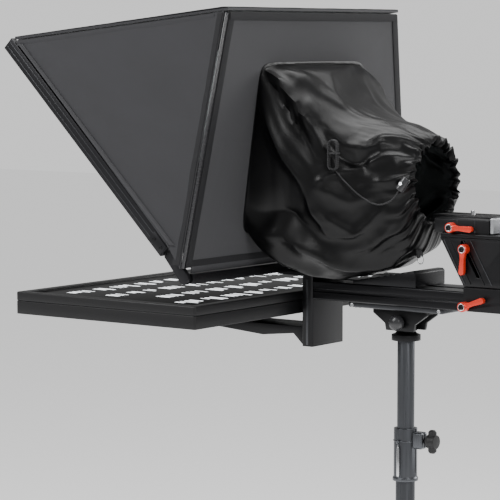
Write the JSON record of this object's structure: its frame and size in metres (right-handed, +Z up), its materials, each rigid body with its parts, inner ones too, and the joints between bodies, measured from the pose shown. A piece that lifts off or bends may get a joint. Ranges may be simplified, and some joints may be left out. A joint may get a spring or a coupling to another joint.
{
  "type": "teleprompter",
  "caption": "Camera teleprompter on a folding stand: a face-up monitor under angled beam-splitter glass, a fabric hood with a lens sleeve, and a rail with a camera riser.",
  "frame": {"origin": "on the floor, under the middle of the object's bounding box", "axes": "+Z up; -Y towards the speaker, +Y towards the camera operator; +X to the camera operator's left hand as they face the speaker"},
  "size_m": [0.8614, 0.8892, 1.384],
  "materials": {
    "aluminium_black": "black anodised, satin",
    "tube_grey": "dark grey anodised",
    "chrome": "polished",
    "black_plastic": "fine matte",
    "display": "glossy display surface",
    "circuit_board": "green solder mask",
    "beam_glass": "half-mirror coating",
    "hood_fabric": "stiffened fine weave",
    "sleeve_fabric": "satin nylon",
    "red_anodised": "red anodised",
    "cord": "braided cord",
    "bright_aluminium": "satin clear anodised"
  },
  "bodies": {
    "stand": {"lower_tube": "tube_grey", "strut_hub": "black_plastic", "column_clamp": "tube_grey"},
    "leg_collar": {"leg_collar": "black_plastic"},
    "leg_collar_knob": {"leg_collar_knob": "black_plastic"},
    "leg_1": {"leg_1": "tube_grey"},
    "leg_2": {"leg_2": "tube_grey"},
    "leg_3": {"leg_3": "tube_grey"},
    "leg_strut_1": {"leg_strut_1": "aluminium_black"},
    "leg_strut_2": {"leg_strut_2": "aluminium_black"},
    "leg_strut_3": {"leg_strut_3": "aluminium_black"},
    "column_knob": {"column_knob": "black_plastic"},
    "safety_pin": {"safety_pin": "chrome"},
    "column": {"upper_tube": "tube_grey", "tilt_socket": "aluminium_black"},
    "head": {"head_bracket": "aluminium_black", "mounting_plate": "aluminium_black", "base_rail": "aluminium_black", "front_upright": "aluminium_black", "hood_crossbar": "aluminium_black", "monitor_arm": "aluminium_black", "monitor_mount_plate": "aluminium_black", "monitor_back_shell": "black_plastic", "monitor_bezel": "black_plastic", "display_panel": "display", "driver_board": "circuit_board", "rail_wedge": "aluminium_black"},
    "tilt_knob": {"tilt_knob": "black_plastic"},
    "power_key": {"power_key": "black_plastic"},
    "menu_key": {"menu_key": "black_plastic"},
    "select_key": {"select_key": "black_plastic"},
    "hood": {"frame_left_rail": "aluminium_black", "frame_right_rail": "aluminium_black", "frame_top_rail": "aluminium_black", "frame_bottom_rail": "aluminium_black", "beam_splitter_glass": "beam_glass", "hood_side_left": "hood_fabric", "hood_side_right": "hood_fabric", "hood_top_panel": "hood_fabric", "hood_back_panel": "hood_fabric", "hood_rod_left": "aluminium_black", "hood_rod_right": "aluminium_black", "lens_sleeve": "sleeve_fabric", "drawstring": "cord", "drawstring_hank": "cord", "cord_lock": "black_plastic"},
    "carriage": {"rail_carriage": "aluminium_black", "riser_guide": "aluminium_black", "riser_guide_bolt": "aluminium_black"},
    "carriage_lever": {"carriage_lever": "red_anodised"},
    "riser_lever": {"riser_lever": "red_anodised"},
    "riser": {"riser_cheek_left": "aluminium_black", "riser_cheek_right": "aluminium_black", "riser_platform": "aluminium_black", "plate_clamp": "aluminium_black"},
    "plate_lever": {"plate_lever": "red_anodised"},
    "camera_plate": {"camera_plate": "aluminium_black", "plate_end_stop": "bright_aluminium"},
    "camera_screw": {"camera_screw": "chrome"}
  },
  "joints": [
    {"name": "leg_collar_slide", "type": "slide", "parent": "stand", "child": "leg_collar", "axis": [0, 0, 1], "range_m": [0, 0.1948]},
    {"name": "leg_hinge_1", "type": "hinge", "parent": "leg_collar", "child": "leg_1", "pos_m": [0, 0.03061, 0.372], "axis": [1, 0, 0], "range_deg": [0, 44]},
    {"name": "strut_hinge_1", "type": "hinge", "parent": "stand", "child": "leg_strut_1", "pos_m": [0, 0.03061, 0.05186], "axis": [-1, 0, 0], "range_deg": [0, 44]},
    {"name": "leg_hinge_2", "type": "hinge", "parent": "leg_collar", "child": "leg_2", "pos_m": [0.02944, 0.08161, 0.372], "axis": [-0.5, 0.866, 0], "range_deg": [0, 44]},
    {"name": "strut_hinge_2", "type": "hinge", "parent": "stand", "child": "leg_strut_2", "pos_m": [0.02944, 0.08161, 0.05186], "axis": [0.5, -0.866, 0], "range_deg": [0, 44]},
    {"name": "leg_hinge_3", "type": "hinge", "parent": "leg_collar", "child": "leg_3", "pos_m": [-0.02944, 0.08161, 0.372], "axis": [-0.5, -0.866, 0], "range_deg": [0, 44]},
    {"name": "strut_hinge_3", "type": "hinge", "parent": "stand", "child": "leg_strut_3", "pos_m": [-0.02944, 0.08161, 0.05186], "axis": [0.5, 0.866, 0], "range_deg": [0, 44]},
    {"name": "leg_collar_knob_turn", "type": "hinge", "parent": "leg_collar", "child": "leg_collar_knob", "pos_m": [0, 0.08791, 0.386], "axis": [0, 1, 0], "range_deg": [-90, 90]},
    {"name": "column_slide", "type": "slide", "parent": "stand", "child": "column", "axis": [0, 0, 1], "range_m": [-0.11, 0.24]},
    {"name": "column_knob_turn", "type": "hinge", "parent": "stand", "child": "column_knob", "pos_m": [0, 0.09691, 0.7689], "axis": [0, 1, 0], "range_deg": [-90, 90]},
    {"name": "safety_pin_hang", "type": "hinge", "parent": "stand", "child": "safety_pin", "pos_m": [0.0198, 0.06461, 0.7669], "axis": [0, -1, 0], "range_deg": [0, 70]},
    {"name": "head_tilt", "type": "hinge", "parent": "column", "child": "head", "pos_m": [0, 0.06461, 0.9389], "axis": [1, 0, 0], "range_deg": [-10, 10]},
    {"name": "tilt_knob_turn", "type": "hinge", "parent": "head", "child": "tilt_knob", "pos_m": [0.0177, 0.06461, 0.9389], "axis": [1, 0, 0], "range_deg": [-90, 90]},
    {"name": "power_key_press", "type": "slide", "parent": "head", "child": "power_key", "axis": [0, -1, 0], "range_m": [0, 0.0012], "stiffness_N_per_m": 500},
    {"name": "menu_key_press", "type": "slide", "parent": "head", "child": "menu_key", "axis": [0, -1, 0], "range_m": [0, 0.0012], "stiffness_N_per_m": 500},
    {"name": "select_key_press", "type": "slide", "parent": "head", "child": "select_key", "axis": [0, -1, 0], "range_m": [0, 0.0012], "stiffness_N_per_m": 500},
    {"name": "hood_tilt", "type": "hinge", "parent": "head", "child": "hood", "pos_m": [0, -0.12139, 1.01075], "axis": [1, 0, 0], "range_deg": [-2, 5]},
    {"name": "carriage_slide", "type": "slide", "parent": "head", "child": "carriage", "axis": [0, 1, 0], "range_m": [0, 0.085]},
    {"name": "carriage_lever_turn", "type": "hinge", "parent": "carriage", "child": "carriage_lever", "pos_m": [0.0493, 0.19191, 0.973], "axis": [1, 0, 0], "range_deg": [-60, 30]},
    {"name": "riser_slide", "type": "slide", "parent": "carriage", "child": "riser", "axis": [0, -0.5, 0.866], "range_m": [0, 0.04]},
    {"name": "riser_lever_turn", "type": "hinge", "parent": "carriage", "child": "riser_lever", "pos_m": [0.0493, 0.19191, 1.0528], "axis": [1, 0, 0], "range_deg": [-45, 60]},
    {"name": "plate_lever_turn", "type": "hinge", "parent": "riser", "child": "plate_lever", "pos_m": [0.0453, 0.16831, 1.0813], "axis": [1, 0, 0], "range_deg": [-5, 90]},
    {"name": "camera_plate_slide", "type": "slide", "parent": "riser", "child": "camera_plate", "axis": [0, 1, 0], "range_m": [0, 0.045]},
    {"name": "camera_screw_turn", "type": "hinge", "parent": "camera_plate", "child": "camera_screw", "pos_m": [0, 0.17376, 1.0859], "axis": [0, 0, 1], "range_deg": [-180, 180]}
  ],
  "couplings": [
    {"joint": "leg_hinge_1", "follows": "leg_collar_slide", "rad_per_m": 3.9422},
    {"joint": "strut_hinge_1", "follows": "leg_collar_slide", "rad_per_m": 3.9422},
    {"joint": "leg_hinge_2", "follows": "leg_collar_slide", "rad_per_m": 3.9422},
    {"joint": "strut_hinge_2", "follows": "leg_collar_slide", "rad_per_m": 3.9422},
    {"joint": "leg_hinge_3", "follows": "leg_collar_slide", "rad_per_m": 3.9422},
    {"joint": "strut_hinge_3", "follows": "leg_collar_slide", "rad_per_m": 3.9422}
  ]
}
